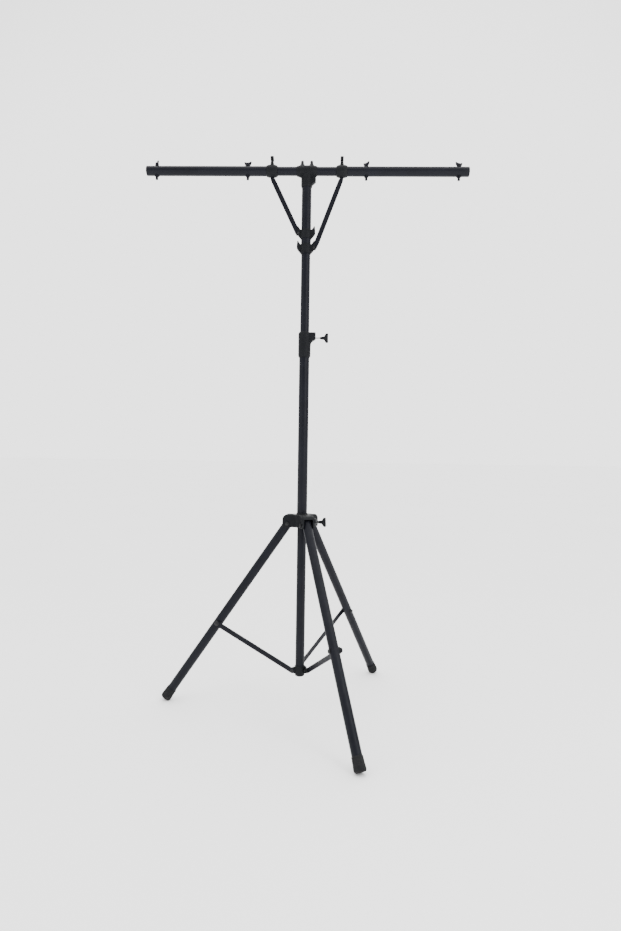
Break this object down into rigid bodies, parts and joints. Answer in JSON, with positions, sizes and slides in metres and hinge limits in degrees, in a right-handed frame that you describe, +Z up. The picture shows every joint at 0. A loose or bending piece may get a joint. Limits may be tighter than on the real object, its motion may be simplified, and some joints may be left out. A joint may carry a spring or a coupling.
{
  "type": "lighting stand",
  "caption": "Folding tripod stand with a telescoping mast and a braced T-bar whose side arms carry hanging bolts for stage lights.",
  "frame": {"origin": "on the floor, under the centre of the footprint; the mast axis is at y = 0.0289 m", "axes": "+Z up along the mast, +X along the T-bar to the right as seen from the front, +Y away from the front"},
  "size_m": [1.2192, 0.9426, 2.0902],
  "materials": {
    "satin_black_paint": "satin black powder coat",
    "moulded_black_plastic": "moulded black plastic, fine texture",
    "black_rubber": "matte black rubber",
    "zinc_plated_steel": "zinc plated, dulled",
    "black_plated_steel": "black plated steel"
  },
  "bodies": {
    "base": {"hub_casting": "moulded_black_plastic", "column_tube": "satin_black_paint", "mast_collar": "moulded_black_plastic", "leg_pivot_bolt_left": "black_plated_steel", "leg_pivot_bolt_front": "black_plated_steel", "leg_pivot_bolt_rear": "black_plated_steel"},
    "hub_knob": {"hub_clamp_handle": "moulded_black_plastic", "hub_clamp_screw": "black_plated_steel"},
    "collar_knob": {"collar_clamp_handle": "moulded_black_plastic", "collar_clamp_screw": "zinc_plated_steel"},
    "leg_left": {"leg_tube_left": "satin_black_paint", "leg_foot_left": "black_rubber", "brace_spacer_left": "moulded_black_plastic", "brace_rivet_left": "black_plated_steel"},
    "leg_front": {"leg_tube_front": "satin_black_paint", "leg_foot_front": "black_rubber", "brace_spacer_front": "moulded_black_plastic", "brace_rivet_front": "black_plated_steel"},
    "leg_rear": {"leg_tube_rear": "satin_black_paint", "leg_foot_rear": "black_rubber", "brace_spacer_rear": "moulded_black_plastic", "brace_rivet_rear": "black_plated_steel"},
    "brace_link_left": {"brace_left": "satin_black_paint", "brace_pin_left": "black_plated_steel"},
    "brace_link_front": {"brace_front": "satin_black_paint", "brace_pin_front": "black_plated_steel"},
    "brace_link_rear": {"brace_rear": "satin_black_paint", "brace_pin_rear": "black_plated_steel"},
    "post": {"post_tube": "satin_black_paint", "bottom_bracket": "moulded_black_plastic", "bracket_pin_left": "black_plated_steel", "bracket_pin_front": "black_plated_steel", "bracket_pin_rear": "black_plated_steel"},
    "upper_mast": {"upper_tube": "satin_black_paint", "upper_tube_bush": "moulded_black_plastic"},
    "t_bar": {"t_sleeve": "satin_black_paint", "tee_casting": "moulded_black_plastic", "tee_bolt_left": "black_plated_steel", "tee_bolt_right": "black_plated_steel", "tee_clamp_screw": "black_plated_steel", "centre_bar": "satin_black_paint", "strut_ring_upper": "moulded_black_plastic", "strut_ring_lower": "moulded_black_plastic", "strut_left": "satin_black_paint", "strut_right": "satin_black_paint", "strut_pin_left": "black_plated_steel", "strut_pin_right": "black_plated_steel", "bar_clamp_left": "moulded_black_plastic", "bar_clamp_right": "moulded_black_plastic"},
    "bar_knob_left": {"bar_clamp_handle_left": "moulded_black_plastic"},
    "arm_left": {"arm_tube_left": "satin_black_paint", "arm_cap_left": "moulded_black_plastic"},
    "bar_knob_right": {"bar_clamp_handle_right": "moulded_black_plastic"},
    "arm_right": {"arm_tube_right": "satin_black_paint", "arm_cap_right": "moulded_black_plastic"},
    "hanging_bolt_left_outer": {"wing_bolt_left_outer": "satin_black_paint"},
    "hanging_bolt_left_inner": {"wing_bolt_left_inner": "satin_black_paint"},
    "hanging_bolt_right_inner": {"wing_bolt_right_inner": "satin_black_paint"},
    "hanging_bolt_right_outer": {"wing_bolt_right_outer": "satin_black_paint"}
  },
  "joints": [
    {"name": "leg_left_fold", "type": "hinge", "parent": "base", "child": "leg_left", "pos_m": [-0.05266, 0.0349, 0.7], "axis": [-0.1132, -0.9936, 0], "range_deg": [0, 34.4]},
    {"name": "leg_front_fold", "type": "hinge", "parent": "base", "child": "leg_front", "pos_m": [0.02071, -0.01989, 0.7], "axis": [0.9205, 0.3907, 0], "range_deg": [0, 34.4]},
    {"name": "leg_rear_fold", "type": "hinge", "parent": "base", "child": "leg_rear", "pos_m": [0.03115, 0.07178, 0.7], "axis": [-0.809, 0.5878, 0], "range_deg": [0, 34.4]},
    {"name": "brace_left_fold", "type": "hinge", "parent": "leg_left", "child": "brace_link_left", "pos_m": [-0.31677, 0.06499, 0.31178], "axis": [-0.1132, -0.9936, 0], "range_deg": [-90.86, 0]},
    {"name": "brace_front_fold", "type": "hinge", "parent": "leg_front", "child": "brace_link_front", "pos_m": [0.12457, -0.26457, 0.31178], "axis": [0.9205, 0.3907, 0], "range_deg": [-90.86, 0]},
    {"name": "brace_rear_fold", "type": "hinge", "parent": "leg_rear", "child": "brace_link_rear", "pos_m": [0.1874, 0.28683, 0.31178], "axis": [-0.809, 0.5878, 0], "range_deg": [-90.86, 0]},
    {"name": "post_drop", "type": "slide", "parent": "base", "child": "post", "axis": [0, 0, -1], "range_m": [0, 0.2541]},
    {"name": "mast_slide", "type": "slide", "parent": "base", "child": "upper_mast", "axis": [0, 0, 1], "range_m": [-0.18, 0.1]},
    {"name": "t_bar_swivel", "type": "hinge", "parent": "upper_mast", "child": "t_bar", "pos_m": [0, 0.0289, 1.85], "axis": [0, 0, 1], "continuous": true},
    {"name": "hub_clamp_turn", "type": "hinge", "parent": "base", "child": "hub_knob", "pos_m": [0.05942, 0.02055, 0.7075], "axis": [0.9903, -0.1392, 0], "continuous": true},
    {"name": "collar_clamp_turn", "type": "hinge", "parent": "base", "child": "collar_knob", "pos_m": [0.06, 0.0289, 1.402], "axis": [1, 0, 0], "continuous": true},
    {"name": "bar_clamp_left_turn", "type": "hinge", "parent": "t_bar", "child": "bar_knob_left", "pos_m": [-0.132, 0.0289, 2.07], "axis": [0, 0, 1], "continuous": true},
    {"name": "bar_clamp_right_turn", "type": "hinge", "parent": "t_bar", "child": "bar_knob_right", "pos_m": [0.132, 0.0289, 2.07], "axis": [0, 0, 1], "continuous": true},
    {"name": "arm_left_pull", "type": "slide", "parent": "t_bar", "child": "arm_left", "axis": [-1, 0, 0], "range_m": [0, 0.05]},
    {"name": "arm_right_pull", "type": "slide", "parent": "t_bar", "child": "arm_right", "axis": [1, 0, 0], "range_m": [0, 0.05]},
    {"name": "hanging_bolt_left_outer_turn", "type": "hinge", "parent": "arm_left", "child": "hanging_bolt_left_outer", "pos_m": [-0.571, 0.0289, 2.032], "axis": [0, 0, 1], "continuous": true},
    {"name": "hanging_bolt_left_inner_turn", "type": "hinge", "parent": "arm_left", "child": "hanging_bolt_left_inner", "pos_m": [-0.224, 0.0289, 2.032], "axis": [0, 0, 1], "continuous": true},
    {"name": "hanging_bolt_right_inner_turn", "type": "hinge", "parent": "arm_right", "child": "hanging_bolt_right_inner", "pos_m": [0.224, 0.0289, 2.032], "axis": [0, 0, 1], "continuous": true},
    {"name": "hanging_bolt_right_outer_turn", "type": "hinge", "parent": "arm_right", "child": "hanging_bolt_right_outer", "pos_m": [0.571, 0.0289, 2.032], "axis": [0, 0, 1], "continuous": true}
  ],
  "couplings": [
    {"joint": "leg_front_fold", "follows": "leg_left_fold", "ratio": 1},
    {"joint": "leg_rear_fold", "follows": "leg_left_fold", "ratio": 1},
    {"joint": "brace_left_fold", "follows": "leg_left_fold", "ratio": -2.641},
    {"joint": "brace_front_fold", "follows": "leg_left_fold", "ratio": -2.641},
    {"joint": "brace_rear_fold", "follows": "leg_left_fold", "ratio": -2.641},
    {"joint": "post_drop", "follows": "leg_left_fold", "m_per_rad": 0.42297}
  ]
}
